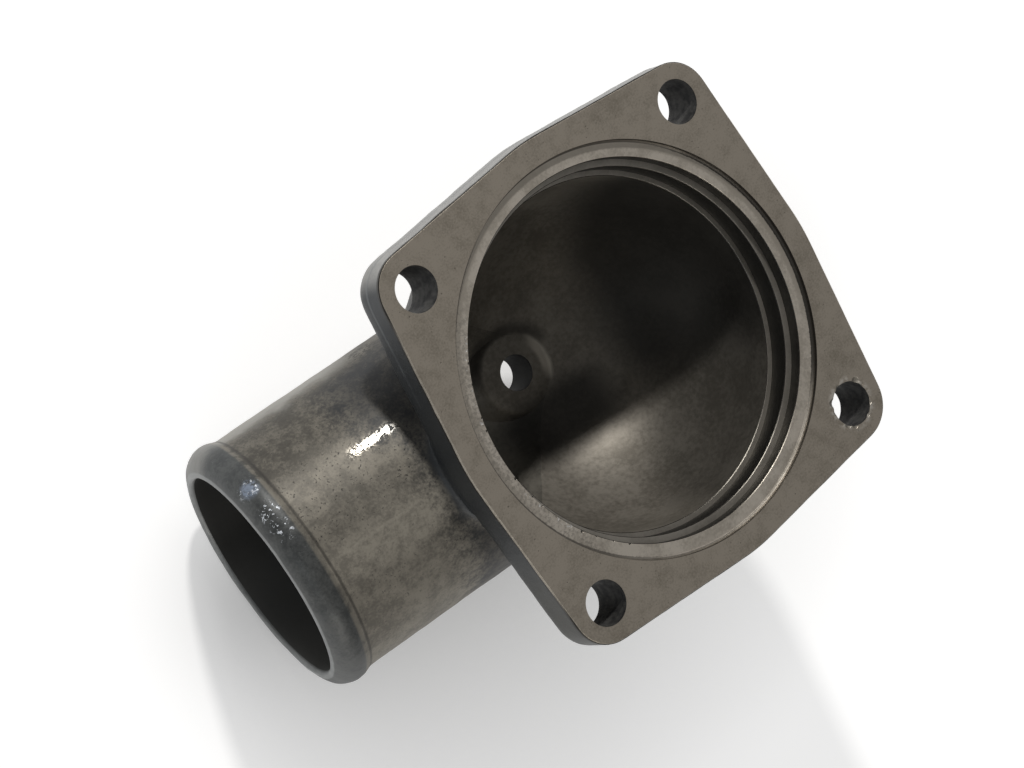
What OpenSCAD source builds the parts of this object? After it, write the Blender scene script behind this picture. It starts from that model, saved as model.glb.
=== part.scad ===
// Cast coolant outlet housing for an engine: a four-bolt flange over a domed chamber that seats the
// valve, with a hose neck that leaves the chamber sideways and slopes away from the mating face.
// The origin is the centre of the machined mating face. +Z points out of that face, and the hose neck
// leaves towards -X. All sizes are in millimetres.

/* [Flange] */
// Distance between bolt holes along each side of the flange
hole_spacing = 50.7; // [49:0.1:60]
// Diameter of the bolt holes
hole_d = 6.5; // [5:0.1:9]
// Width of metal left around each bolt hole
hole_land = 2.45; // [1.5:0.05:5]
// How far the middle of each flange side bulges past its corners
side_bulge = 2.15; // [0.5:0.05:5]
// Thickness of the flange
flange_t = 7.4; // [6:0.1:12]
// Rounding of the cast back edge of the flange
back_round = 2.6; // [0.5:0.1:4]

/* [Valve seat] */
// Diameter of the gasket recess at the mating face
recess_d = 58.8; // [56.5:0.1:66]
// Depth of the gasket recess
recess_depth = 0.9; // [0.4:0.1:2]
// Width of the sloped wall of the gasket recess
recess_slope = 0.55; // [0.1:0.05:1]
// Diameter of the counterbore that centres the valve
seat_d = 54; // [52.6:0.1:56]
// Depth of the valve ledge below the mating face
seat_depth = 3; // [2:0.1:3.8]
// Diameter of the lower counterbore
step_d = 52; // [50.8:0.1:53.4]
// Depth of the lower ledge below the mating face
step_depth = 6.5; // [4.5:0.1:8]
// Broken edge at the inner rim of each ledge
edge_break = 0.35; // [0.1:0.05:0.4]

/* [Dome] */
// Inner diameter of the domed chamber
dome_d = 50.4; // [47:0.1:51]
// Depth of the dome's centre below the mating face
dome_centre = 11.1; // [9.5:0.1:16]
// Wall of the dome
dome_wall = 3.3; // [2.5:0.1:4.5]
// Fillet between the dome and the back of the flange
dome_fillet = 1.6; // [0.5:0.1:2]

/* [Hose neck] */
// Outer diameter of the hose neck
neck_d = 38; // [35:0.1:40]
// Bore of the hose neck
neck_bore_d = 32.4; // [28:0.1:33.5]
// Slope of the neck away from the mating face, in degrees
neck_tilt = 10; // [4:0.5:16]
// Depth of the neck's axis below the mating face, at the flange centre
neck_drop = 20.5; // [20:0.1:23]
// Length along the neck's axis from the flange centre to the mouth
neck_reach = 55.2; // [48:0.1:80]
// Rise of the rounded end bead above the neck
bead_rise = 0.6; // [0.2:0.1:1.2]
// Broken edge inside the mouth of the neck
mouth_lip = 0.7; // [0.3:0.1:1]

/* [Bleed hole] */
// Diameter of the bleed hole in the crown of the dome
bleed_d = 5.5; // [3:0.1:8]
// Diameter of the boss around the bleed hole, inside and outside the dome
boss_d = 13; // [10:0.1:16]
// Height of the outer boss above the crown of the dome
boss_h = 2.1; // [1:0.1:6]
// Height of the inner boss above the floor of the dome
inner_boss_h = 0.7; // [0.3:0.1:2]

/* [Hidden] */
// Small overlap that carries a cut past a face
over = 1;
corner_r = hole_d / 2 + hole_land;
side_r = hole_spacing / 2 + corner_r + side_bulge;
corner_reach = hole_spacing / 2 * sqrt(2);
// Angle between the line to a corner and the normal of the flange edge beside it
edge_turn = acos((side_r - corner_r) / corner_reach);
// Step between the straight side of the flange and its rounded back
draft = 0.03;
dome_r = dome_d / 2;
dome_outer_r = dome_r + dome_wall;
neck_wall = (neck_d - neck_bore_d) / 2;
bead_r = neck_wall + bead_rise;
crown = dome_centre + dome_outer_r;
$fn = 128;

// Outline of the flange: round corners and gently bulged sides
module flange_outline() {
    circle(side_r);
    for (quarter = [45 : 90 : 315]) rotate(quarter) {
        translate([corner_reach, 0]) circle(corner_r);
        polygon([
            [0, 0],
            [side_r * cos(edge_turn), -side_r * sin(edge_turn)],
            [corner_reach + corner_r * cos(edge_turn), -corner_r * sin(edge_turn)],
            [corner_reach + corner_r * cos(edge_turn), corner_r * sin(edge_turn)],
            [side_r * cos(edge_turn), side_r * sin(edge_turn)]
        ]);
    }
}

// Round pad with a rounded lower edge, a hair smaller than the outline above it
module back_pad(r) {
    rotate_extrude() intersection() {
        union() {
            translate([0, -flange_t]) square([r - back_round - draft, flange_t / 2]);
            translate([r - back_round - draft, back_round - flange_t]) circle(back_round, $fn = 32);
        }
        translate([0, -flange_t]) square([r, back_round + draft]);
    }
}

// Square flange: a straight machined side over a rounded cast back
module flange_body() {
    translate([0, 0, back_round - flange_t]) linear_extrude(flange_t - back_round) flange_outline();
    hull() {
        back_pad(side_r);
        for (x = [-1, 1], y = [-1, 1])
            translate([x * hole_spacing / 2, y * hole_spacing / 2, 0]) back_pad(corner_r, $fn = 64);
    }
}

// Outside of the dome, with a fillet up to the flange and a boss on its crown
module dome_body() {
    rotate_extrude() {
        translate([0, -dome_centre]) intersection() {
            circle(dome_outer_r);
            translate([0, -dome_outer_r]) square(dome_outer_r);
        }
        translate([0, -dome_centre]) square([dome_outer_r, dome_centre - flange_t / 2]);
        translate([0, -flange_t]) difference() {
            translate([0, -dome_fillet]) square([dome_outer_r + dome_fillet, dome_fillet * 2]);
            translate([dome_outer_r + dome_fillet, -dome_fillet]) circle(dome_fillet);
        }
    }
    translate([0, 0, -crown - boss_h]) cylinder(h = boss_h + dome_wall, d = boss_d);
}

// Lays its children along the neck's axis, with +Z towards the mouth
module along_neck() {
    translate([0, 0, -neck_drop]) rotate([0, -90 - neck_tilt, 0]) children();
}

// Outside of the hose neck with its rounded end bead
module neck_body() {
    cylinder(h = neck_reach - bead_r, d = neck_d);
    translate([0, 0, neck_reach - bead_r]) rotate_extrude() translate([neck_bore_d / 2, 0]) circle(bead_r);
}

// Stepped seat, bowl and dome, as one turned space
module chamber() {
    rotate_extrude() polygon([
        [0, over],
        [recess_d / 2 + over * recess_slope / recess_depth, over],
        [recess_d / 2 - recess_slope, -recess_depth],
        [seat_d / 2 + edge_break, -recess_depth],
        [seat_d / 2, -recess_depth - edge_break],
        [seat_d / 2, -seat_depth],
        [step_d / 2 + edge_break, -seat_depth],
        [step_d / 2, -seat_depth - edge_break],
        [step_d / 2, -step_depth],
        [dome_r + edge_break, -step_depth],
        [dome_r, -step_depth - edge_break],
        [dome_r, -dome_centre],
        [0, -dome_centre]
    ]);
    translate([0, 0, -dome_centre]) sphere(dome_r);
}

// Low round boss that stands up from the dome's floor around the bleed hole
module inner_boss() {
    translate([0, 0, -crown]) cylinder(h = dome_wall + inner_boss_h, d = boss_d);
}

// Straight bore of the neck, opened out at the mouth by its broken edge
module neck_bore() {
    cylinder(h = neck_reach + over, d = neck_bore_d);
    translate([0, 0, neck_reach - mouth_lip])
        cylinder(h = mouth_lip + over, r1 = neck_bore_d / 2, r2 = neck_bore_d / 2 + mouth_lip + over);
}

// Space inside the casting: the chamber and the neck's bore, around the inner boss
module water_space() {
    difference() {
        union() {
            chamber();
            along_neck() neck_bore();
        }
        inner_boss();
    }
}

// Half space below the middle of the flange, which trims the root of the neck
module below_flange() {
    translate([0, 0, -neck_reach * 2]) linear_extrude(neck_reach * 2 - flange_t / 2)
        square(neck_reach * 4, center = true);
}

// The whole casting with its machined seat, bore and holes
module housing() {
    color("#6f6a61") difference() {
        union() {
            flange_body();
            dome_body();
            intersection() {
                along_neck() neck_body();
                below_flange();
            }
        }
        water_space();
        for (x = [-1, 1], y = [-1, 1])
            translate([x * hole_spacing / 2, y * hole_spacing / 2, -flange_t - over])
                cylinder(h = flange_t + 2 * over, d = hole_d);
        translate([0, 0, -crown - boss_h - over]) cylinder(h = crown, d = bleed_d);
    }
}

housing();
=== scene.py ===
"""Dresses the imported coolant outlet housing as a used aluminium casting.

The housing is made the way the real one is: a rough casting first, with soft edges and an uneven skin,
and then the facing, boring and drilling cuts, so machined surfaces meet the cast skin in crisp edges.
Meshes are in metres, and MM turns the millimetres of the sizes below into metres. Finishes are written
in millimetres throughout.
"""

from __future__ import annotations

import logging
import math
import random
from dataclasses import dataclass, field
from enum import Enum
from functools import cached_property
from typing import Union

import bmesh
import bpy
import numpy as np
from bmesh.types import BMEdge, BMesh, BMVert
from bpy.types import Material, Node, NodeSocket, Object, World
from mathutils import Matrix, Vector, noise

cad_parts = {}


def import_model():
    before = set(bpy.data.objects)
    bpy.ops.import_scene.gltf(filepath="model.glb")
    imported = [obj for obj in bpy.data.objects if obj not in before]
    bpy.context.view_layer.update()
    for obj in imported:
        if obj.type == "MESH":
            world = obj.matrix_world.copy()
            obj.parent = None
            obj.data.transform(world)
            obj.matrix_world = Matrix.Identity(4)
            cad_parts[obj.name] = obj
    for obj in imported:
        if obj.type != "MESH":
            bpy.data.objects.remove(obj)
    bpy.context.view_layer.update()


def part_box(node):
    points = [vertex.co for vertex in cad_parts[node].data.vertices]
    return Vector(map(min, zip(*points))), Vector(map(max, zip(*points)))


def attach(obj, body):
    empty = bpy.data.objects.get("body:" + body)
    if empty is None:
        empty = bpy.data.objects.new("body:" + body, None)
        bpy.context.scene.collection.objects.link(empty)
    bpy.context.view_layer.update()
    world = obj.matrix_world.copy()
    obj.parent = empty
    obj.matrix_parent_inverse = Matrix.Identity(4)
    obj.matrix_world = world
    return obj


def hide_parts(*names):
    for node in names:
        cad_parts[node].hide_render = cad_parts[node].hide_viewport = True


LOG = logging.getLogger("housing")
MM = 0.001
NODE = "housing"
BODY = "root"
UP = Vector((0.0, 0.0, 1.0))
Colour = tuple[float, float, float]
Place = tuple[float, float, float]
Ramp = tuple[float, float]
Profile = list[tuple[float, float]]
Value = Union["Wire", float]
Settings = Union[dict[str, object], None]
Inputs = Union[dict[Union[str, int], object], None]
WHITE: Colour = (1.0, 1.0, 1.0)


class Surface(Enum):
    """The kinds of surface on the casting, each with its own finish. The value is the material index."""

    CAST_SKIN = 0
    MACHINED_FACE = 1
    TURNED_SEAT = 2
    CHAMBER_WALL = 3
    DRILLED_WALL = 4
    NECK_BORE = 5
    SHADED_SEAT_WALL = 6


class Cut(Enum):
    """How a tool solid changes the casting."""

    AWAY = "DIFFERENCE"
    ADD = "UNION"


class Output(Enum):
    """What a node tree's shader is sent to."""

    MATERIAL = "ShaderNodeOutputMaterial"
    WORLD = "ShaderNodeOutputWorld"


class Wire:
    """A shader socket that takes part in Python expressions."""

    def __init__(self, graph: Graph, socket: NodeSocket) -> None:
        """Keep the socket and the graph that it belongs to."""
        self.graph = graph
        self.socket = socket

    def __add__(self, other: Value) -> Wire:
        """Sum of two values."""
        return self.graph.math("ADD", self, other)

    def __radd__(self, other: Value) -> Wire:
        """Sum of two values, reflected."""
        return self.graph.math("ADD", other, self)

    def __sub__(self, other: Value) -> Wire:
        """Difference of two values."""
        return self.graph.math("SUBTRACT", self, other)

    def __rsub__(self, other: Value) -> Wire:
        """Difference of two values, reflected."""
        return self.graph.math("SUBTRACT", other, self)

    def __mul__(self, other: Value) -> Wire:
        """Product of two values."""
        return self.graph.math("MULTIPLY", self, other)

    def __rmul__(self, other: Value) -> Wire:
        """Product of two values, reflected."""
        return self.graph.math("MULTIPLY", other, self)


class Graph:
    """The node tree of a material or a world, built from Python expressions."""

    def __init__(self, owner: Material | World) -> None:
        """Start an empty node tree.

        Args:
            owner: The material or world that the tree belongs to.
        """
        owner.use_nodes = True
        self.owner = owner
        self.tree = owner.node_tree
        self.tree.nodes.clear()

    @classmethod
    def material(cls, name: str) -> Graph:
        """Start the node tree of a new material."""
        return cls(bpy.data.materials.new(name))

    def node(self, kind: str, settings: Settings = None, inputs: Inputs = None) -> Node:
        """Add a node.

        Args:
            kind: The node's type.
            settings: Properties to set first.
            inputs: Socket name or index to a value or a wire.

        Returns:
            The new node.
        """
        made = self.tree.nodes.new(kind)
        for key, value in (settings or {}).items():
            setattr(made, key, value)
        for key, value in (inputs or {}).items():
            if isinstance(value, Wire):
                self.tree.links.new(value.socket, made.inputs[key])
            else:
                made.inputs[key].default_value = value
        return made

    def wire(self, kind: str, output: str | int, settings: Settings = None, inputs: Inputs = None) -> Wire:
        """Add a node and hand back the output of that name or index."""
        return Wire(self, self.node(kind, settings, inputs).outputs[output])

    @cached_property
    def place(self) -> Wire:
        """The object's own coordinates, in millimetres."""
        metres = self.wire("ShaderNodeTexCoord", "Object")
        return self.wire("ShaderNodeVectorMath", 0, {"operation": "SCALE"}, {0: metres, "Scale": 1.0 / MM})

    def math(self, operation: str, a: Value, b: Value = 0.0) -> Wire:
        """Add a Math node and hand back its result."""
        return self.wire("ShaderNodeMath", 0, {"operation": operation}, {0: a, 1: b})

    def most(self, a: Value, b: Value) -> Wire:
        """Larger of two values."""
        return self.math("MAXIMUM", a, b)

    def rise(self, value: Wire, start: float, end: float) -> Wire:
        """Smooth ramp of a value from 0 at start to 1 at end."""
        inputs: Inputs = {"Value": value, "From Min": start, "From Max": end}
        return self.wire("ShaderNodeMapRange", "Result", {"interpolation_type": "SMOOTHSTEP"}, inputs)

    def fall(self, value: Wire, start: float, end: float) -> Wire:
        """Smooth ramp of a value from 1 at start to 0 at end."""
        return 1.0 - self.rise(value, start, end)

    def stripe(self, value: Wire, middle: float, core: float, reach: float) -> Wire:
        """Mask that is 1 within core of a middle value and fades to 0 at reach."""
        return self.fall(self.math("ABSOLUTE", value - middle), core, reach)

    def noise(self, size: float, detail: float = 2.0, roughness: float = 0.5) -> Wire:
        """Noise around 0.5, with features of about a size in millimetres and octaves of finer detail."""
        inputs: Inputs = {"Vector": self.place, "Scale": 1.0 / size, "Detail": detail, "Roughness": roughness}
        return self.wire("ShaderNodeTexNoise", "Fac", {"noise_dimensions": "3D"}, inputs)

    def mix(self, share: Value, a: Wire | Colour, b: Wire | Colour) -> Wire:
        """Blend two colours.

        Args:
            share: Share of the second colour.
            a: First colour.
            b: Second colour.

        Returns:
            The blend.
        """
        first, second = ((c if isinstance(c, Wire) else (*c, 1.0)) for c in (a, b))
        return self.wire(
            "ShaderNodeMix",
            2,
            {"data_type": "RGBA", "clamp_factor": True},
            {"Factor": share, 6: first, 7: second},
        )

    def parts(self, place: Wire | None = None) -> list[Wire]:
        """The three coordinates of a place, or of the object's own coordinates."""
        made = self.node("ShaderNodeSeparateXYZ", None, {0: place or self.place})
        return [Wire(self, made.outputs[axis]) for axis in "XYZ"]

    def radius(self, place: Wire | None = None) -> Wire:
        """Distance from the Z axis of a place, or of the object's own coordinates."""
        x, y, _ = self.parts(place)
        return self.math("SQRT", x * x + y * y)

    def turned(self, centre: Vector, towards: Vector) -> Wire:
        """Coordinates around an axis, with Z along it.

        Args:
            centre: A point on the axis, in millimetres.
            towards: The axis's direction.

        Returns:
            The place in those coordinates.
        """
        turn = towards.to_track_quat("Z", "Y").inverted()
        return self.wire(
            "ShaderNodeMapping",
            0,
            {"vector_type": "POINT"},
            {"Vector": self.place, "Location": -(turn @ centre), "Rotation": turn.to_euler()},
        )

    def distance(self, point: Place) -> Wire:
        """Distance to a fixed point, in millimetres."""
        inputs: Inputs = {0: self.place, 1: point}
        return self.wire("ShaderNodeVectorMath", "Value", {"operation": "DISTANCE"}, inputs)

    def near(self, point: Place, reach: float) -> Wire:
        """Soft mask around a point."""
        return self.fall(self.distance(point), reach * 0.4, reach)

    def bump(self, height: Wire, depth: float, strength: float = 0.6) -> Wire:
        """Normal of a relief from 0 to 1, whose full height is a depth in millimetres."""
        inputs: Inputs = {"Height": height, "Distance": depth * MM, "Strength": strength}
        return self.wire("ShaderNodeBump", "Normal", None, inputs)

    def surface(
        self,
        colour: Wire,
        metallic: Value,
        rough: Wire,
        normal: Wire,
        specular: float = 0.5,
    ) -> Material:
        """Send a Principled shader to the output.

        Args:
            colour: Base colour.
            metallic: Share of metal.
            rough: Roughness.
            normal: Bumped normal.
            specular: Level of the clear reflection over what isn't metal.

        Returns:
            The finished material.
        """
        shader = self.node(
            "ShaderNodeBsdfPrincipled",
            None,
            {
                "Base Color": colour,
                "Metallic": metallic,
                "Roughness": rough,
                "Normal": normal,
                "Specular IOR Level": specular,
            },
        )
        return self.finish(shader)

    def finish(
        self, shader: Node, output: Output = Output.MATERIAL
    ) -> Material | World:
        """Send a shader to the output and hand back the material or world."""
        self.node(output.value, None, {"Surface": Wire(self, shader.outputs[0])})
        return self.owner


@dataclass(frozen=True)
class NeckAxis:
    """Line along the hose neck, from the flange's axis to the mouth."""

    tilt: float = math.radians(10.0)
    drop: float = 20.5 * MM

    @property
    def root(self) -> Vector:
        """Point where the neck's axis meets the flange's axis."""
        return Vector((0.0, 0.0, -self.drop))

    @property
    def direction(self) -> Vector:
        """Direction from the root to the mouth."""
        return Vector((-math.cos(self.tilt), 0.0, -math.sin(self.tilt)))

    def matrix(self, along: float = 0.0) -> Matrix:
        """Placement with Z along the neck, at a distance from the root."""
        turn = Matrix.Rotation(-math.pi / 2 - self.tilt, 4, "Y")
        return Matrix.Translation(self.root + self.direction * along) @ turn

    def coordinates(self, g: Graph) -> Wire:
        """Finish coordinates in millimetres around the neck, with Z along it."""
        return g.turned(self.root / MM, self.direction)


@dataclass(frozen=True)
class CastSkin:
    """Mottled cast aluminium: speckled neck, dark flange side, bluish bead with pale flecks.

    Places and ramps are in millimetres. A name that ends in along counts from the neck's root.
    """

    light: Colour = (0.245, 0.225, 0.187)
    dark: Colour = (0.13, 0.12, 0.101)
    # Colour of the specks, also used for the painted shade lines in the bead's crease and under the face's
    # edge.
    speck_and_painted_shade: Colour = (0.03, 0.028, 0.026)
    brown: Colour = (0.065, 0.06, 0.05)
    bead_light: Colour = (0.08, 0.087, 0.089)
    bead_dark: Colour = (0.045, 0.05, 0.053)
    # Colour of the painted highlight on the bead's inner lip.
    lip: Colour = (0.34, 0.35, 0.35)
    patch: Colour = (0.26, 0.31, 0.4)
    # Lighter tone of the faint seam, also used for the painted light along the top and -Y flank of the neck.
    worn_and_painted_light: Colour = (0.42, 0.387, 0.325)
    # Colour of the painted sheen along the neck's +Y flank.
    pale: Colour = (0.5, 0.49, 0.455)
    side: Colour = (0.035, 0.04, 0.045)
    side_low: Colour = (0.075, 0.075, 0.068)
    # Colour of the painted light at the side's +Y end.
    side_lit: Colour = (0.36, 0.357, 0.345)
    # Colour of the side's raised line, painted lighter as a highlight.
    side_line: Colour = (0.17, 0.185, 0.195)
    # Dark colour of the root's dirt and painted shade.
    dark_tone: Colour = (0.03, 0.032, 0.035)
    fleck: Colour = (0.8, 0.84, 0.9)
    brown_y: Ramp = (10.5, 14.0)
    band_y: float = -1.5
    band_fade: Ramp = (1.0, 5.5)
    flank_y: Ramp = (-10.0, -4.0)
    band_along: Ramp = (28.0, 32.0)
    rim_top: Ramp = (-20.0, -15.5)
    rim_foot: Ramp = (-31.0, -24.0)
    rim_y: Ramp = (4.0, 8.0)
    rim_along: Ramp = (22.0, 34.0)
    seam_start: Ramp = (33.0, 37.0)
    seam_end: Ramp = (48.0, 50.0)
    seam_z: Ramp = (-18.0, -14.0)
    bead_along: float = 50.0
    lip_r: float = 17.1
    root_dark_along: Ramp = (28.5, 35.0)
    root_dark_y: Ramp = (5.0, 14.0)
    root_dark_z: Ramp = (-23.0, -19.0)
    side_x: float = -33.6
    side_z: float = -7.6
    side_low_y: Ramp = (-24.0, -8.0)
    side_lit_y: Ramp = (27.5, 30.5)
    side_line_y: Ramp = (8.0, 22.0)
    side_line_z: float = -3.4
    face_edge_z: Ramp = (-0.75, -0.45)
    polished: Place = (-37.4, 10.2, -10.8)
    grainy: Place = (-26.1, 18.8, -22.2)
    fleck_spots: tuple[Place, ...] = ((-54.4, 13.7, -16.1), (-54.8, 10.1, -13.3), (-55.1, 7.4, -12.0))
    neck: NeckAxis = field(default_factory=NeckAxis)

    def build(self) -> Material:
        """Make the material."""
        return SkinLayers(self).build()


class SkinLayers:
    """Builds the cast skin up in layers, over coordinates and noises in millimetres."""

    def __init__(self, skin: CastSkin) -> None:
        """Set up what the layers share.

        Args:
            skin: The skin's colours, places and ramps.
        """
        g = Graph.material("cast_skin")
        self.g = g
        self.skin = skin
        self.x, self.y, self.z = g.parts()
        self.around = skin.neck.coordinates(g)
        self.along = g.parts(self.around)[2]
        self.broad = g.noise(8.0, 3.0, 0.6)
        self.cloud = g.noise(2.0, 4.0, 0.65)
        self.fine = g.noise(0.42, 3.0, 0.65)
        self.mottle = g.rise(self.broad * 0.3 + self.cloud * 0.35 + self.fine * 0.35, 0.38, 0.6)
        self.grain = g.near(skin.grainy, 3.6) * g.rise(g.noise(0.55, 2.0, 0.6), 0.44, 0.54)
        specks = g.rise(g.noise(0.32, 1.0, 0.5) + (self.cloud - 0.5) * 0.25, 0.66, 0.74)
        self.specks = g.most(specks, self.grain)
        self.on_bead = g.rise(self.along, skin.bead_along + 0.2, skin.bead_along + 1.4)
        on_side = g.rise(self.x, skin.side_x - 0.6, skin.side_x + 0.3)
        self.on_side = on_side * g.rise(self.z, skin.side_z - 0.5, skin.side_z + 0.5)
        self.colour = g.mix(self.mottle, skin.dark, skin.light)

    def build(self) -> Material:
        """Lay the layers in order, and add the sheen and the relief.

        Returns:
            The finished material.
        """
        g, skin = self.g, self.skin
        seam, flecks, line, shine = self._seam(), self._flecks(), self._side_line(), self._streak()
        self._over(self.specks * 0.85, skin.speck_and_painted_shade)
        self._brown_dirt_and_painted_light()
        self._over(seam * 0.3, skin.worn_and_painted_light)
        self._bead()
        # Painted sheen along the neck's +Y flank, weaker on the bead.
        self._over(self._painted_rim_sheen() * (0.6 - self.on_bead * 0.25), skin.pale)
        self._painted_lip_and_rub()
        self._over(flecks, skin.fleck)
        # Painted shade: a dark line in the crease where the bead starts.
        self._over(g.stripe(self.along, skin.bead_along, 0.08, 0.35) * 0.6, skin.speck_and_painted_shade)
        self._root_dirt_and_shade()
        self._flange_side()
        # The side's raised line, painted lighter as a highlight.
        self._over(line * 0.4, skin.side_line)
        # Painted shade: a dark line along the top of the flange's side, just under the face's edge.
        self._over(g.rise(self.z, *skin.face_edge_z) * 0.9, skin.speck_and_painted_shade)
        rough = 0.48 + self.fine * 0.14 - shine * 0.36 - self.on_side * 0.1 - self.on_bead * 0.08
        relief = self.fine * 0.5 + self.cloud * 0.5 - self.specks * 0.5
        relief = relief + seam * 0.4 + flecks * 0.6 + line * 0.8
        return g.surface(self.colour, 0.4, rough, g.bump(relief * (1.0 - shine * 0.7), 0.06))

    def _over(self, share: Wire, colour: Wire | Colour) -> None:
        """Lay a share of a colour over the layers so far."""
        self.colour = self.g.mix(share, self.colour, colour)

    def _brown_dirt_and_painted_light(self) -> None:
        """Brown dirt towards +Y, and a lighter strip along the top of the neck and over its -Y flank, which
        is painted light.
        """
        g, skin = self.g, self.skin
        dirty = g.rise(self.y + (self.cloud - 0.5) * 5.0, *skin.brown_y)
        self._over(dirty * (0.95 - self.mottle * 0.5), skin.brown)
        # Painted light: the top of the neck and its -Y flank are made lighter.
        band = g.stripe(self.y + (self.broad - 0.5) * 4.0, skin.band_y, *skin.band_fade)
        band = g.most(band, g.fall(self.y, *skin.flank_y) * 0.5)
        band = band * g.rise(self.along, *skin.band_along)
        self._over(band * (0.3 + self.mottle * 0.35), skin.worn_and_painted_light)

    def _bead(self) -> None:
        """The bluish bead, and the ridge where it starts, painted pale as a highlight."""
        g, skin = self.g, self.skin
        blots = g.rise(self.broad * 0.3 + self.cloud * 0.3 + self.fine * 0.4, 0.38, 0.6)
        self._over(self.on_bead * 0.9, g.mix(blots, skin.bead_dark, skin.bead_light))
        # Painted highlight: a pale line along the ridge where the bead starts.
        ridge = g.stripe(self.along, skin.bead_along + 0.75, 0.12, 0.45)
        self._over(ridge * g.rise(self.cloud, 0.35, 0.55) * 0.6, skin.light)

    def _painted_rim_sheen(self) -> Wire:
        """Painted sheen: a soft pale band along the neck's +Y flank, which leaves the grainy spot dark.

        Returns:
            The band's mask.
        """
        g, skin = self.g, self.skin
        height = self.z + self.along * math.sin(skin.neck.tilt)
        uneven = height + (self.cloud - 0.5) * 4.0 + (self.broad - 0.5) * 5.0
        rim = g.fall(uneven, *skin.rim_top) * g.rise(uneven, *skin.rim_foot)
        rim = rim * g.rise(self.y, *skin.rim_y) * (1.0 - self.grain)
        return rim * g.rise(self.along + (self.broad - 0.5) * 10.0, *skin.rim_along)

    def _painted_lip_and_rub(self) -> None:
        """The inner lip of the bead, painted pale as a highlight, and the rubbed spot beside the flakes."""
        g, skin = self.g, self.skin
        # Painted highlight on the bead's inner lip.
        lip = g.fall(g.radius(self.around), skin.lip_r, skin.lip_r + 0.35)
        self._over(lip * self.on_bead * (0.35 + self.cloud * 0.6), skin.lip)
        rubbed = g.rise(self.cloud * 0.5 + self.fine * 0.5, 0.4, 0.6)
        self._over(g.near(skin.fleck_spots[0], 1.8) * rubbed * 0.9, skin.patch)

    def _root_dirt_and_shade(self) -> None:
        """The dark, ragged marks on the neck next to the flange: partly dirt, partly painted shade in the
        corner under the flange.
        """
        g, skin = self.g, self.skin
        reach = self.along + (self.cloud - 0.5) * 7.0 + (self.fine - 0.5) * 5.0
        reach = reach - g.rise(self.y, *skin.root_dark_y) * 5.0
        # Partly dirt, partly painted shade in the corner where the neck meets the flange.
        root_dark = g.fall(reach, *skin.root_dark_along) * g.rise(self.z, *skin.root_dark_z)
        self._over(root_dark * (0.95 - self.mottle * 0.35), skin.dark_tone)

    def _flange_side(self) -> None:
        """The flange's side: dark, lighter towards -Y, and painted light at its +Y end, where the lamp falls
        on it.
        """
        g, skin = self.g, self.skin
        side = g.mix(g.rise(self.y, *skin.side_low_y), skin.side_low, skin.side)
        # Painted light: the side's +Y end is made pale.
        side = g.mix(g.rise(self.y, *skin.side_lit_y), side, skin.side_lit)
        self._over(self.on_side * (0.75 + self.mottle * 0.2), side)

    def _side_line(self) -> Wire:
        """Mask of the raised line along the flange's side, which is also painted lighter as a highlight."""
        line = self.on_side * self.g.stripe(self.z, self.skin.side_line_z, 0.08, 0.4)
        return line * self.g.rise(self.y + (self.cloud - 0.5) * 20.0, *self.skin.side_line_y)

    def _streak(self) -> Wire:
        """Ragged rubbed streak along the neck.

        Returns:
            The streak's mask.
        """
        g, skin = self.g, self.skin
        place = g.turned(Vector(skin.polished), skin.neck.direction)
        cover = g.fall(g.radius(place), 0.2, 1.5) * g.stripe(g.parts(place)[2], 0.0, 2.6, 5.4)
        return cover * g.rise(self.cloud * 0.3 + self.fine * 0.7 + cover * 0.08, 0.54, 0.57)

    def _seam(self) -> Wire:
        """Faint mould seam along the top of the neck.

        Returns:
            The seam's mask.
        """
        g, skin = self.g, self.skin
        line = g.stripe(self.y + (self.cloud - 0.5) * 0.9, 0.0, 0.08, 0.4)
        ends = g.rise(self.along, *skin.seam_start) * g.fall(self.along, *skin.seam_end)
        return line * ends * g.rise(self.z, *skin.seam_z)

    def _flecks(self) -> Wire:
        """Pale flakes on the bead.

        Returns:
            The flakes' mask.
        """
        cover: Value = 0.0
        for spot in self.skin.fleck_spots:
            cover = self.g.most(cover, self.g.near(spot, 2.2))
        return cover * self.g.rise(self.g.noise(0.8, 4.0, 0.7), 0.58, 0.62)


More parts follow.
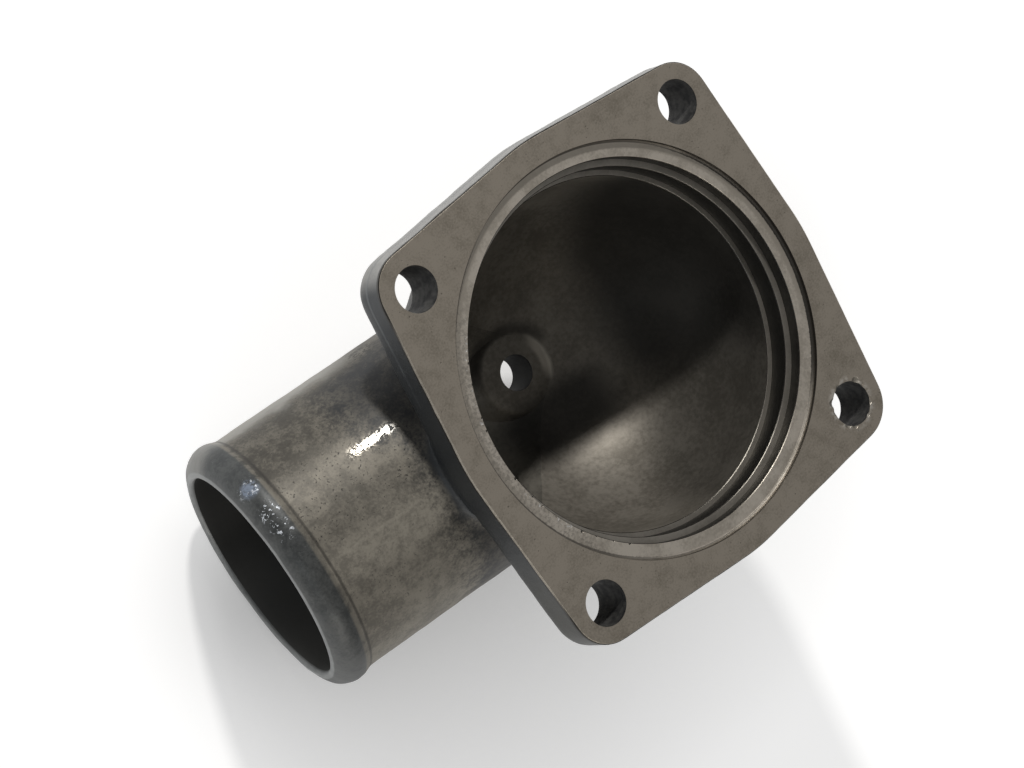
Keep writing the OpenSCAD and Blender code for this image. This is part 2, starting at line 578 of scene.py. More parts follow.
@dataclass(frozen=True)
class MachinedFace:
    """Flat milled face, dulled to a warm grey, with faint stains and small pits.

    Places and ramps are in millimetres. A name with burr or hole counts from the burred hole's centre.
    """

    base: Colour = (0.525, 0.47, 0.396)
    darker_tone: Colour = (0.37, 0.329, 0.27)
    # Colour of the pits and of the painted shade on the broken outer edge.
    pit_and_edge_shade: Colour = (0.05, 0.047, 0.042)
    burr: Colour = (0.85, 0.81, 0.74)
    chip: Colour = (0.27, 0.255, 0.225)
    burred_hole: Place = (25.35, -25.35, 0.0)
    burr_start: Ramp = (3.2, 3.35)
    burr_end: Ramp = (3.45, 4.3)
    hole_reach: Ramp = (4.6, 5.2)
    below_z: Ramp = (-0.06, -0.01)
    bare_y: Ramp = (18.0, 25.0)

    def build(self) -> Material:
        """Make the material.

        Returns:
            The finished material.
        """
        g = Graph.material("machined_face")
        _, y, z = g.parts()
        stains = g.rise(g.noise(10.0, 4.0, 0.6), 0.35, 0.7)
        blot = g.noise(2.4, 3.0, 0.6)
        grain = g.noise(0.3, 2.0, 0.7)
        colour = g.mix(stains * 0.5 + (blot - 0.5) * 2.2 + (grain - 0.5) * 2.4, self.base, self.darker_tone)
        pits = g.rise(g.noise(0.42, 0.0), 0.8, 0.84)
        colour = g.mix(pits * 0.5, colour, self.pit_and_edge_shade)
        from_hole = g.distance(self.burred_hole)
        burr = g.rise(from_hole, *self.burr_start) * g.fall(from_hole, *self.burr_end)
        burr = burr * g.rise(g.noise(1.0, 2.0, 0.6), 0.42, 0.62)
        colour = g.mix(burr * 0.7, colour, self.burr)
        below = g.fall(z, *self.below_z)
        at_hole = g.fall(from_hole, *self.hole_reach)
        chips = below * at_hole
        colour = g.mix(chips * 0.8, colour, self.chip)
        bare = g.stripe(y, 0.0, *self.bare_y)
        # Painted shade: the broken outer edge is darkened to a dark line, except near y = 0 where it keeps
        # the face's colour.
        colour = g.mix(below * (1.0 - at_hole) * (1.0 - bare * 0.8), colour, self.pit_and_edge_shade)
        rough = 0.44 + grain * 0.14 + chips * 0.16
        return g.surface(colour, 0.9, rough, g.bump(grain - pits * 0.8 + burr * 2.0, 0.03))


@dataclass(frozen=True)
class TurnedSeat:
    """Turned rings with fine tool marks, nicks along the scuffed inner edge, and the rings below the recess
    darkened as painted shade.

    Lengths and ramps are in millimetres. A name that ends in r counts from the seat's axis.
    """

    name: str = "turned_seat"
    base: Colour = (0.9, 0.825, 0.72)
    dull: Colour = (0.6, 0.545, 0.465)
    # Colour of the painted shade on the rings below the recess.
    ledge: Colour = (0.3, 0.29, 0.265)
    dark_tone: Colour = (0.035, 0.032, 0.029)
    scuffed: Colour = (0.3, 0.275, 0.24)
    nick: Colour = (0.95, 0.93, 0.89)
    groove: float = 0.14
    dull_r: Ramp = (28.0, 28.4)
    dull_y: Ramp = (-14.0, -4.0)
    corner_r: Ramp = (28.98, 29.1)
    right_r: Ramp = (28.9, 29.02)
    right_x: Ramp = (15.0, 24.0)
    left_r: Ramp = (28.78, 28.92)
    left_x: Ramp = (-20.0, -8.0)
    corner_line_y: Ramp = (-26.0, -14.0)
    ledge_z: Ramp = (-2.6, -1.6)
    edge_levels: tuple[float, ...] = (-0.9, -3.0, -6.5)
    edge_drop: float = 0.06
    glint_turn: float = math.radians(-70.0)
    worn_r: float = 27.3
    worn_x: Ramp = (-23.0, -19.0)
    worn_z: Ramp = (-1.4, -1.05)

    def build(self) -> Material:
        """Make the material.

        Returns:
            The finished material.
        """
        g = Graph.material(self.name)
        x, y, z = g.parts()
        radius = g.radius()
        marks = g.math("SINE", (radius + z) * (2 * math.pi / self.groove)) * 0.5 + 0.5
        stains = g.noise(4.0, 3.0, 0.6)
        grain = g.noise(0.35, 2.0, 0.6)
        colour = g.mix(g.rise(stains * 0.7 + grain * 0.3, 0.38, 0.66), self.base, self.dull)
        outer = g.rise(radius + (grain - 0.5) * 0.3, *self.dull_r) * g.rise(y, *self.dull_y)
        colour = g.mix(outer * 0.8, colour, self.dull)
        ragged = radius + (grain - 0.5) * 0.2
        # A dark line along the foot of the recess's outer wall.
        dirt = g.rise(ragged, *self.right_r) * g.rise(x, *self.right_x)
        dirt = g.most(dirt, g.rise(radius, *self.corner_r) * 0.8)
        dirt = g.most(dirt, g.rise(ragged, *self.left_r) * g.fall(x, *self.left_x) * 0.75)
        colour = g.mix(dirt * (0.85 + g.rise(y, *self.corner_line_y) * 0.1), colour, self.dark_tone)
        # Painted shade: the rings below the recess are made darker.
        colour = g.mix(g.fall(z, *self.ledge_z) * 0.6, colour, self.ledge)
        bright = g.stripe(g.math("ARCTAN2", y, x), self.glint_turn, 0.1, 0.4)
        colour = g.mix(self._edges(g, z) * (1.0 - bright * stains * 1.4), colour, self.dark_tone)
        worn_side = g.fall(x, *self.worn_x) * g.rise(z, *self.worn_z)
        scuff = g.rise(g.noise(0.5, 3.0, 0.7), 0.45, 0.62) * worn_side
        colour = g.mix(scuff * 0.45, colour, self.scuffed)
        nicks = g.stripe(radius, self.worn_r, 0.15, 0.5) * worn_side
        nicks = nicks * g.rise(g.noise(0.6, 2.0, 0.6), 0.6, 0.68)
        colour = g.mix(nicks, colour, self.nick)
        relief = marks * 0.4 + grain * 0.6 - nicks * 1.5
        return g.surface(colour, 0.92, 0.4 + stains * 0.12, g.bump(relief, 0.025))

    def _edges(self, g: Graph, z: Wire) -> Wire:
        """Mask of the narrow broken edges, just below each ledge's level."""
        cover: Value = 0.0
        for level in self.edge_levels:
            cover = g.most(cover, g.stripe(z, level - self.edge_drop, 0.03, 0.05))
        return cover


@dataclass(frozen=True)
class ChamberWall:
    """Cast wall, darker towards +X, with painted shade at the bottom of the bowl and far inside the neck, a
    dark ring around the boss, partly dirt and partly painted shade, and a painted highlight on the boss's
    edge.

    Places and ramps are in millimetres. A name that ends in r counts from the dome's axis.
    """

    name: str = "chamber_wall"
    light: Colour = (0.29, 0.267, 0.23)
    dark: Colour = (0.17, 0.155, 0.13)
    # Dark colour towards +X, also used for the painted shade at the bottom and inside the neck.
    darker_tone: Colour = (0.022, 0.022, 0.021)
    dark_tone: Colour = (0.035, 0.033, 0.03)
    # Colour of the painted shade far inside the neck.
    painted_deep_shade: Colour = (0.12, 0.12, 0.115)
    # Colour of the painted highlight on the boss's edge.
    pale: Colour = (0.72, 0.67, 0.58)
    deep_along: Ramp = (17.0, 27.0)
    shaded_y: Ramp = (-6.0, 4.0)
    dark_x: Ramp = (10.0, 18.0)
    dark_turn_y: float = -13.0
    dark_y: Ramp = (-15.0, -7.0)
    shade_pool_centre: Place = (2.0, -8.5, -34.0)
    shade_pool_reach: Ramp = (6.0, 14.0)
    shade_pool_top_y: Ramp = (-7.0, -2.0)
    shade_pool_foot_y: Ramp = (-16.0, -11.0)
    boss_z: Ramp = (-34.0, -33.0)
    boss_edge_r: float = 5.3
    ring_start_r: Ramp = (5.4, 6.2)
    ring_end_r: Ramp = (6.6, 8.5)
    ring_y: Ramp = (0.0, 4.0)
    glint_x: Ramp = (2.2, 4.6)
    neck: NeckAxis = field(default_factory=NeckAxis)

    def build(self) -> Material:
        """Make the material.

        Returns:
            The finished material.
        """
        g = Graph.material(self.name)
        x, y, _ = g.parts()
        inside_neck = g.rise(g.parts(self.neck.coordinates(g))[2], *self.deep_along)
        broad = g.noise(7.0, 4.0, 0.6)
        fine = g.noise(0.7, 3.0, 0.6)
        colour = g.mix(g.rise(broad * 0.6 + fine * 0.4, 0.36, 0.64), self.dark, self.light)
        # Painted shade: the wall darkens far inside the neck.
        colour = g.mix(inside_neck, colour, self.painted_deep_shade)
        # Darker towards +X, and for y below -13 mm also towards -Y.
        right = x - g.math("MINIMUM", y - self.dark_turn_y, 0.0) * 1.05
        darkened = g.rise(right + (broad - 0.5) * 6.0, *self.dark_x)
        darkened = darkened * (0.5 + g.rise(y, *self.dark_y) * 0.35)
        # Painted shade: a dark patch at the bottom of the bowl, just above the edge of the lamp's shadow.
        painted_pool_shade = g.fall(g.distance(self.shade_pool_centre) + (broad - 0.5) * 3.0, *self.shade_pool_reach)
        painted_pool_shade = painted_pool_shade * g.fall(y, *self.shade_pool_top_y) * g.rise(y, *self.shade_pool_foot_y)
        darkened = g.most(darkened, painted_pool_shade * 0.8)
        # Painted shade: the +Y side far inside the neck is darker.
        shaded = inside_neck * g.rise(y, *self.shaded_y) * 0.7
        # The same dark colour carries the painted shade at the bottom of the bowl and inside the neck.
        colour = g.mix(g.most(darkened, shaded), colour, self.darker_tone)
        colour = self._boss(g, colour, broad)
        normal = g.bump(broad * 0.5 + fine * 0.5, 0.07, 0.5)
        return g.surface(colour, 0.5, 0.41 + fine * 0.14, normal, 0.25)

    def _boss(self, g: Graph, colour: Wire, broad: Wire) -> Wire:
        """Add the dark ring around the boss, partly dirt and partly painted shade, and the pale crescent on
        its edge as a painted highlight.

        Args:
            g: The material's graph.
            colour: The colour below.
            broad: Noise that makes the ring uneven.

        Returns:
            The new colour.
        """
        x, y, z = g.parts()
        radius = g.radius() + (broad - 0.5) * 1.2
        in_boss = g.fall(z, *self.boss_z)
        ring = g.rise(radius, *self.ring_start_r) * g.fall(radius, *self.ring_end_r)
        ring = ring * in_boss * g.rise(y, *self.ring_y)
        # Partly painted shade: the dark ring is kept to the boss's +Y side.
        colour = g.mix(ring * 0.7, colour, self.dark_tone)
        glint = g.stripe(radius, self.boss_edge_r, 0.3, 1.2) * in_boss
        glint = glint * g.rise(x - g.math("ABSOLUTE", y) * 0.4, *self.glint_x)
        # Painted highlight: a pale crescent on the boss's edge.
        return g.mix(glint * 0.8, colour, self.pale)


@dataclass(frozen=True)
class DrilledWall:
    """Dark wall of a drilled hole with fine rings, painted very dark far down in the bleed hole as its shade.
    Lengths are in millimetres.
    """

    base: Colour = (0.085, 0.084, 0.08)
    dark_tone: Colour = (0.03, 0.03, 0.031)
    # Colour of the painted shade in the bleed hole.
    black: Colour = (0.008, 0.008, 0.008)
    groove: float = 0.3
    shallow_z: Ramp = (-30.0, -20.0)

    def build(self) -> Material:
        """Make the material.

        Returns:
            The finished material.
        """
        g = Graph.material("drilled_wall")
        z = g.parts()[2]
        rings = g.math("SINE", z * (2 * math.pi / self.groove)) * 0.5 + 0.5
        dirt = g.noise(1.2, 3.0, 0.6)
        colour = g.mix(g.rise(dirt, 0.3, 0.7), self.base, self.dark_tone)
        shallow = g.rise(z, *self.shallow_z)
        # Painted shade: the bleed hole's wall is made near black.
        colour = g.mix(shallow, self.black, colour)
        normal = g.bump(rings * 0.4 + dirt * 0.6, 0.04)
        return g.surface(colour, shallow * 0.3, 0.5 + dirt * 0.16, normal, 0.12)


def mesh_object(name: str, bm: BMesh) -> Object:
    """Turn a bmesh into a linked object and free it.

    Args:
        name: The object's name.
        bm: The mesh, in metres in the shared frame.

    Returns:
        The new object, at the origin.
    """
    mesh = bpy.data.meshes.new(name)
    bm.to_mesh(mesh)
    bm.free()
    made = bpy.data.objects.new(name, mesh)
    bpy.context.scene.collection.objects.link(made)
    return made


def baked(obj: Object) -> None:
    """Apply an object's modifiers to its mesh."""
    graph = bpy.context.evaluated_depsgraph_get()
    mesh = bpy.data.meshes.new_from_object(obj.evaluated_get(graph))
    obj.modifiers.clear()
    old, obj.data = obj.data, mesh
    bpy.data.meshes.remove(old)


def round_bar(bm: BMesh, radii: Ramp, length: float, place: Matrix, steps: int) -> None:
    """Add a closed bar or cone along Z.

    Args:
        bm: The mesh that collects it.
        radii: Radius at its lower and at its upper end.
        length: Its length.
        place: Placement of its middle.
        steps: Steps around the axis.
    """
    bmesh.ops.create_cone(
        bm, cap_ends=True, segments=steps, radius1=radii[0], radius2=radii[1], depth=length, matrix=place
    )


def full_spin(bm: BMesh, geom: list[object], steps: int) -> None:
    """Spin points and edges once around Z, and merge where they meet again.

    Args:
        bm: The mesh.
        geom: The points and edges.
        steps: Steps around the axis.
    """
    turn = 2 * math.pi
    bmesh.ops.spin(bm, geom=geom, cent=(0, 0, 0), axis=UP, angle=turn, steps=steps, use_merge=True)
    bmesh.ops.remove_doubles(bm, verts=bm.verts[:], dist=1e-7)


def turned_solid(profile: Profile, place: Matrix, steps: int) -> BMesh:
    """Spin a profile once around Z, and place the closed result.

    Args:
        profile: Radii and heights in order, with both ends on the axis.
        place: Placement of the finished solid.
        steps: Steps around the axis.

    Returns:
        The solid.
    """
    bm = bmesh.new()
    chain = [bm.verts.new((radius, 0.0, height)) for radius, height in profile]
    edges = [bm.edges.new(pair) for pair in zip(chain, chain[1:])]
    full_spin(bm, chain + edges, steps)
    bmesh.ops.dissolve_degenerate(bm, edges=bm.edges[:], dist=1e-8)
    bmesh.ops.recalc_face_normals(bm, faces=bm.faces[:])
    bmesh.ops.transform(bm, matrix=place, verts=bm.verts[:])
    return bm


@dataclass(frozen=True)
class FlangeOutline:
    """Square outline with round corners around the bolt holes and gently bulged sides."""

    hole_spacing: float = 50.7 * MM
    corner_r: float = 5.7 * MM
    side_bulge: float = 2.15 * MM
    corner_steps: int = 14
    side_steps: int = 8

    @property
    def side_r(self) -> float:
        """Radius of the arc in the middle of each side."""
        return self.hole_spacing / 2 + self.corner_r + self.side_bulge

    def loop(self, bm: BMesh, grow: float, height: float) -> list[BMEdge]:
        """Draw the outline as a closed loop of edges.

        Args:
            bm: The mesh to draw in.
            grow: How far the outline moves outwards.
            height: Its height.

        Returns:
            The loop's edges.
        """
        reach = self.hole_spacing / 2 * math.sqrt(2)
        turn = math.acos((self.side_r - self.corner_r) / reach)
        verts: list[BMVert] = []
        for quarter in range(4):
            middle = math.radians(45 + 90 * quarter)
            out = Vector((math.cos(middle), math.sin(middle), 0.0))
            for centre, radius, start, sweep, steps in (
                (out * reach, self.corner_r + grow, middle - turn, 2 * turn, self.corner_steps),
                (Vector(), self.side_r + grow, middle + turn, math.pi / 2 - 2 * turn, self.side_steps),
            ):
                for i in range(steps + 1):
                    angle = start + sweep * i / steps
                    spot = centre + Vector((math.cos(angle), math.sin(angle), 0.0)) * radius
                    verts.append(bm.verts.new(spot + UP * height))
        return [bm.edges.new((a, b)) for a, b in zip(verts, verts[1:] + verts[:1])]


@dataclass
class Casting:
    """The rough casting: flange, dome, neck and bosses, with soft edges and an uneven skin."""

    outline: FlangeOutline = field(default_factory=FlangeOutline)
    neck: NeckAxis = field(default_factory=NeckAxis)
    flange_t: float = 7.4 * MM
    back_round: float = 2.6 * MM
    back_steps: int = 6
    stock: float = 2.0 * MM
    dome_centre: float = 11.1 * MM
    dome_outer_r: float = 28.5 * MM
    dome_fillet: float = 1.6 * MM
    neck_r: float = 19.0 * MM
    neck_bore_r: float = 16.2 * MM
    neck_reach: float = 55.2 * MM
    bead_r: float = 3.4 * MM
    bead_steps: int = 40
    boss_r: float = 6.5 * MM
    boss_h: float = 2.1 * MM
    round_steps: int = 128
    voxel: float = 0.45 * MM
    soften_rounds: int = 6
    fillet_rounds: int = 50
    normals_every: int = 10
    crease: float = 47.0 * MM
    swells: tuple[tuple[float, float], ...] = ((0.22, 0.07), (0.9, 0.025))

    def build(self) -> Object:
        """Make the casting.

        Returns:
            The casting as one closed mesh, solid inside.
        """
        bm = bmesh.new()
        self._flange(bm)
        self._dome(bm)
        self._neck(bm)
        obj = mesh_object("housing_casting", bm)
        remesh = obj.modifiers.new("pour", "REMESH")
        remesh.mode = "VOXEL"
        remesh.voxel_size = self.voxel
        soften = obj.modifiers.new("soften", "SMOOTH")
        soften.factor = 0.5
        soften.iterations = self.soften_rounds
        baked(obj)
        self._fill_corners(obj)
        self._roughen(obj)
        LOG.info("casting: %d faces", len(obj.data.polygons))
        return obj

    def _flange(self, bm: BMesh) -> None:
        """Add the flange, with stock above the mating face and a rounded back."""
        loops = [self.outline.loop(bm, 0.0, self.stock)]
        for i in range(self.back_steps + 1):
            angle = math.pi / 2 * i / self.back_steps
            grow = -self.back_round * (1 - math.cos(angle))
            height = self.back_round * (1 - math.sin(angle)) - self.flange_t
            loops.append(self.outline.loop(bm, grow, height))
        for upper, lower in zip(loops, loops[1:]):
            bmesh.ops.bridge_loops(bm, edges=upper + lower)
        for rim in (loops[0], loops[-1]):
            bmesh.ops.edgeloop_fill(bm, edges=rim)

    def _dome(self, bm: BMesh) -> None:
        """Add the dome, its wall up to the flange, its fillet and the boss on its crown."""
        centre = Matrix.Translation(-UP * self.dome_centre)
        bmesh.ops.create_uvsphere(bm, u_segments=96, v_segments=48, radius=self.dome_outer_r, matrix=centre)
        flare = self.dome_outer_r + self.dome_fillet
        crown = -self.dome_centre - self.dome_outer_r
        for radii, low, high in (
            ((self.dome_outer_r, self.dome_outer_r), -self.dome_centre, -self.flange_t / 2),
            ((self.dome_outer_r, flare), -self.flange_t - self.dome_fillet, -self.flange_t),
            ((self.boss_r, self.boss_r), crown - self.boss_h, crown + self.boss_h),
        ):
            middle = Matrix.Translation(UP * (low + high) / 2)
            round_bar(bm, radii, high - low, middle, self.round_steps)

    def _neck(self, bm: BMesh) -> None:
        """Add the hose neck and its rounded end bead."""
        length = self.neck_reach - self.bead_r
        round_bar(bm, (self.neck_r, self.neck_r), length, self.neck.matrix(length / 2), self.round_steps)
        ring = bmesh.new()
        upright = Matrix.Translation((self.neck_bore_r, 0, 0)) @ Matrix.Rotation(math.pi / 2, 4, "X")
        circle = bmesh.ops.create_circle(ring, segments=self.bead_steps, radius=self.bead_r, matrix=upright)
        start = circle["verts"]
        full_spin(ring, start + list({e for v in start for e in v.link_edges}), self.round_steps)
        bmesh.ops.recalc_face_normals(ring, faces=ring.faces[:])
        bmesh.ops.transform(ring, matrix=self.neck.matrix(length), verts=ring.verts[:])
        spare = bpy.data.meshes.new("bead")
        ring.to_mesh(spare)
        ring.free()
        bm.from_mesh(spare)
        bpy.data.meshes.remove(spare)

    def _fill_corners(self, obj: Object) -> None:
        """Fill inner corners as cast fillets, by moving points outwards towards their neighbours.

        Args:
            obj: The casting. Its bead keeps the crease behind it.
        """
        mesh = obj.data
        flat = np.empty(len(mesh.vertices) * 3)
        mesh.vertices.foreach_get("co", flat)
        spots = flat.reshape(-1, 3)
        ends = np.empty(len(mesh.edges) * 2, dtype=np.int64)
        mesh.edges.foreach_get("vertices", ends)
        first, second = ends.reshape(-1, 2).T
        here, there = np.concatenate((first, second)), np.concatenate((second, first))
        count = np.bincount(here, minlength=len(spots))[:, None]
        along = (spots - np.array(self.neck.root)) @ np.array(self.neck.direction)
        free = (along < self.crease)[:, None]
        normals = np.empty_like(flat)
        for turn in range(self.fillet_rounds):
            if turn % self.normals_every == 0:
                mesh.vertices.foreach_set("co", spots.ravel())
                mesh.update()
                mesh.vertex_normals.foreach_get("vector", normals)
            near = [np.bincount(here, spots[there, axis], len(spots)) for axis in range(3)]
            shift = np.stack(near, axis=1) / count - spots
            out = normals.reshape(-1, 3)
            rise = (shift * out).sum(axis=1, keepdims=True)
            spots += out * np.clip(rise, 0.0, None) * free * 0.5
        mesh.vertices.foreach_set("co", spots.ravel())
        mesh.update()

    def _roughen(self, obj: Object) -> None:
        """Move the skin in and out a little, as sand and die wear leave it."""
        bm = bmesh.new()
        bm.from_mesh(obj.data)
        bm.normal_update()
        for vert in bm.verts:
            spot = vert.co / MM
            swell = sum(noise.noise(spot * pace) * height for pace, height in self.swells)
            vert.co += vert.normal * swell * MM
        bm.to_mesh(obj.data)
        bm.free()


@dataclass
class Machining:
    """The cuts that turn the casting into the finished housing.

    The seat holds radii and heights, and the mound radii and drops below its top, all in millimetres.
    """

    casting: Casting = field(default_factory=Casting)
    hole_r: float = 3.25 * MM
    hole_sides: tuple[tuple[int, int], ...] = ((1, 1), (-1, 1), (-1, -1), (1, -1))
    bleed_r: float = 2.75 * MM
    drill_steps: int = 96
    edge_break: float = 0.18 * MM
    dome_r: float = 25.2 * MM
    dome_steps: int = 60
    inner_boss_h: float = 0.7 * MM
    mound: tuple[tuple[float, float], ...] = (
        (5.4, 0.0), (5.8, 0.06), (6.2, 0.24), (6.6, 0.56),
        (7.1, 1.1), (7.7, 1.75), (8.4, 2.4), (9.2, 3.0),
    )
    mound_steps: int = 96
    lip: float = 0.7 * MM
    lip_steps: int = 6
    bore_rows: int = 40
    bore_steps: int = 160
    over: float = 3.0 * MM
    seat: tuple[tuple[float, float], ...] = (
        (29.4, 0.0), (29.36, -0.5), (29.27, -0.72), (29.08, -0.86), (28.85, -0.9),
        (27.1, -0.9), (27.0, -1.0), (27.0, -3.0),
        (26.1, -3.0), (26.0, -3.1), (26.0, -6.5),
        (25.3, -6.5), (25.2, -6.6),
    )
    seat_steps: int = 192
    wall_tilt: float = 0.3
    nicked_edge: int = 5

    def tools(self) -> list[tuple[Object, Cut]]:
        """Make the tool solids in the order that they work.

        Returns:
            Each tool with what it does.
        """
        return [
            (self._facing_tool(), Cut.AWAY),
            (self._chamber_tool(), Cut.AWAY),
            (self._bore_tool(), Cut.AWAY),
            (self._inner_boss(), Cut.ADD),
            (self._drills(), Cut.AWAY),
            (self._rim_chips(), Cut.AWAY),
            (self._edge_chips(), Cut.AWAY),
        ]

    def _facing_tool(self) -> Object:
        """Tool that faces the flange flat and breaks its outer edge."""
        casting = self.casting
        outline = casting.outline
        bm = bmesh.new()
        floor = outline.loop(bm, -self.edge_break, 0.0)
        skirt = outline.loop(bm, self.over, -self.edge_break - self.over)
        wall = outline.loop(bm, self.over, casting.dome_outer_r)
        bmesh.ops.bridge_loops(bm, edges=floor + skirt)
        bmesh.ops.bridge_loops(bm, edges=skirt + wall)
        bmesh.ops.edgeloop_fill(bm, edges=floor)
        bmesh.ops.edgeloop_fill(bm, edges=wall)
        bmesh.ops.recalc_face_normals(bm, faces=bm.faces[:])
        return self._tool("facing_tool", bm, Surface.MACHINED_FACE)

    def _chamber_tool(self) -> Object:
        """Tool that turns the seat and hollows the dome."""
        profile = [(0.0, self.over), (self.seat[0][0] * MM + self.over * 0.6, self.over)]
        profile += [(r * MM, z * MM) for r, z in self.seat]
        for i in range(self.dome_steps + 1):
            angle = math.pi / 2 * i / self.dome_steps
            depth = self.casting.dome_centre + self.dome_r * math.sin(angle)
            profile.append((self.dome_r * math.cos(angle), -depth))
        bm = turned_solid(profile, Matrix.Identity(4), self.seat_steps)
        tool = self._tool("chamber_tool", bm, Surface.TURNED_SEAT)
        for face in tool.data.polygons:
            if face.center.z < self.seat[-1][1] * MM:
                face.material_index = Surface.CHAMBER_WALL.value
            elif abs(face.normal.z) < self.wall_tilt:
                face.material_index = Surface.SHADED_SEAT_WALL.value
        return tool

    def _bore_tool(self) -> Object:
        """Tool that opens the neck from the chamber to its mouth, with a rounded lip."""
        casting = self.casting
        bore_r = casting.neck_bore_r
        length = casting.neck_reach + self.over
        straight = casting.neck_reach - self.lip
        profile = [(0.0, 0.0)]
        profile += [(bore_r, straight * i / self.bore_rows) for i in range(self.bore_rows + 1)]
        for i in range(1, self.lip_steps + 1):
            angle = math.pi / 2 * i / self.lip_steps
            out = bore_r + self.lip * (1 - math.cos(angle))
            profile.append((out, straight + self.lip * math.sin(angle)))
        profile += [(bore_r + self.lip, length), (0.0, length)]
        bm = turned_solid(profile, casting.neck.matrix(), self.bore_steps)
        tool = self._tool("bore_tool", bm, Surface.NECK_BORE)
        for face in tool.data.polygons:
            if (face.center - casting.neck.root).dot(casting.neck.direction) > straight:
                face.material_index = Surface.CAST_SKIN.value
        return tool

    def _inner_boss(self) -> Object:
        """Low round boss on the dome's floor, around the bleed hole."""
        top = -self.casting.dome_centre - self.dome_r + self.inner_boss_h
        profile = [(0.0, top - self.mound[-1][1] * MM)]
        profile += [(r * MM, top - drop * MM) for r, drop in reversed(self.mound)]
        profile.append((0.0, top))
        bm = turned_solid(profile, Matrix.Identity(4), self.mound_steps)
        return self._tool("inner_boss", bm, Surface.CHAMBER_WALL)

    def _drills(self) -> Object:
        """Drills for the bolt holes and the bleed hole."""
        casting = self.casting
        half = casting.outline.hole_spacing / 2
        floor = -casting.dome_centre - self.dome_r + self.inner_boss_h
        crown = -casting.dome_centre - casting.dome_outer_r - casting.boss_h
        holes = [(x * half, y * half, self.hole_r, -casting.flange_t, 0.0) for x, y in self.hole_sides]
        bm = bmesh.new()
        for x, y, radius, low, high in holes + [(0.0, 0.0, self.bleed_r, crown, floor)]:
            middle = Matrix.Translation((x, y, (low + high) / 2))
            round_bar(bm, (radius, radius), high - low + self.over * 2, middle, self.drill_steps)
        return self._tool("drills", bm, Surface.DRILLED_WALL)

    def _rim_chips(self) -> Object:
        """Small bites out of the rim of the bolt hole at +X, -Y."""
        half = self.casting.outline.hole_spacing / 2
        centre = Vector((half, -half, 0.0))
        return self._chips("rim_chips", Surface.MACHINED_FACE, centre, self.hole_r, (0, 360), 9, (0.6, 1.1))

    def _edge_chips(self) -> Object:
        """Small nicks along the scuffed part of the seat's inner edge."""
        radius, height = self.seat[self.nicked_edge]
        spot, reach = UP * height * MM, radius * MM
        return self._chips("edge_chips", Surface.TURNED_SEAT, spot, reach, (150, 236), 13, (0.2, 0.45))

    def _chips(
        self,
        name: str,
        surface: Surface,
        centre: Vector,
        radius: float,
        span: tuple[float, float],
        count: int,
        sizes: tuple[float, float],
    ) -> Object:
        """Make small round tools along an arc, at uneven places and in uneven sizes.

        Args:
            name: The tool's name.
            surface: The finish of the chips.
            centre: The arc's centre.
            radius: The arc's radius.
            span: The arc's start and end in degrees.
            count: How many chips there are.
            sizes: Smallest and largest radius in millimetres.

        Returns:
            The tool.
        """
        dice = random.Random(count)
        bm = bmesh.new()
        for i in range(count):
            turn = math.radians(span[0] + (span[1] - span[0]) * (i + dice.uniform(0.05, 0.95)) / count)
            size = dice.uniform(*sizes) * MM
            out = Vector((math.cos(turn), math.sin(turn), 0.0))
            spot = centre + out * (radius + size * dice.uniform(-0.4, 0.2))
            spot = spot + UP * size * dice.uniform(0.55, 0.8)
            bmesh.ops.create_icosphere(bm, subdivisions=2, radius=size, matrix=Matrix.Translation(spot))
        return self._tool(name, bm, surface)

    @staticmethod
    def _tool(name: str, bm: BMesh, surface: Surface) -> Object:
        """Make a tool object whose cut surfaces carry a finish.

        Args:
            name: The tool's name.
            bm: Its mesh.
            surface: The finish that it leaves.

        Returns:
            The tool.
        """
        tool = mesh_object(name, bm)
        for _ in Surface:
            tool.data.materials.append(None)
        for face in tool.data.polygons:
            face.material_index = surface.value
        return tool


